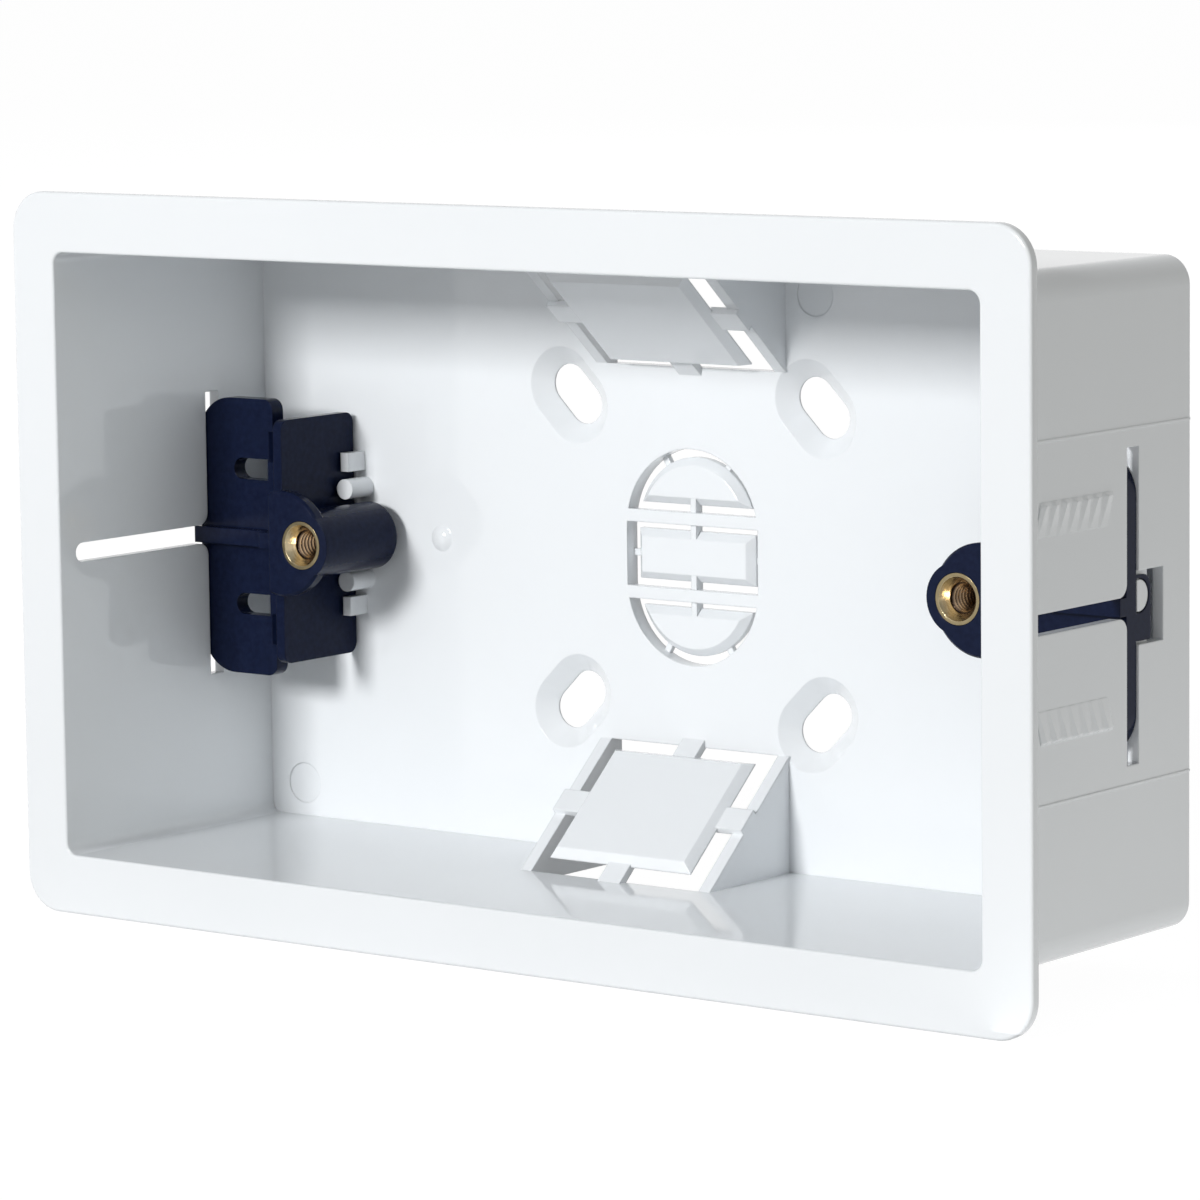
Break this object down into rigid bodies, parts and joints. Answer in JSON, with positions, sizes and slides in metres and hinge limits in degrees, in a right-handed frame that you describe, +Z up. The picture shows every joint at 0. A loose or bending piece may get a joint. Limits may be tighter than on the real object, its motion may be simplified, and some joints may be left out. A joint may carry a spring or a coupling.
{
  "type": "drywall back box",
  "caption": "Flanged rectangular plastic back box for hollow walls, with slotted sides, break-out cable entries and push-out clamps that carry brass screw inserts.",
  "frame": {"origin": "centre of the plane of the flange's rear face, which lies on the front of the plasterboard", "axes": "+X to the right across the box, +Y into the wall, +Z up"},
  "size_m": [0.144, 0.0398, 0.0864],
  "materials": {
    "white_moulding": "satin white moulded plastic",
    "black_moulding": "satin black moulded plastic",
    "brass": "turned brass"
  },
  "bodies": {
    "box": {"back_box": "white_moulding"},
    "right_clamp_slide": {"right_clamp": "black_moulding", "right_brass_insert": "brass"},
    "left_clamp_slide": {"left_clamp": "black_moulding", "left_brass_insert": "brass"}
  },
  "joints": [
    {"name": "right_clamp_push", "type": "slide", "parent": "box", "child": "right_clamp_slide", "axis": [1, 0, 0], "range_m": [0, 0.0129]},
    {"name": "left_clamp_push", "type": "slide", "parent": "box", "child": "left_clamp_slide", "axis": [-1, 0, 0], "range_m": [0, 0.0129]}
  ]
}
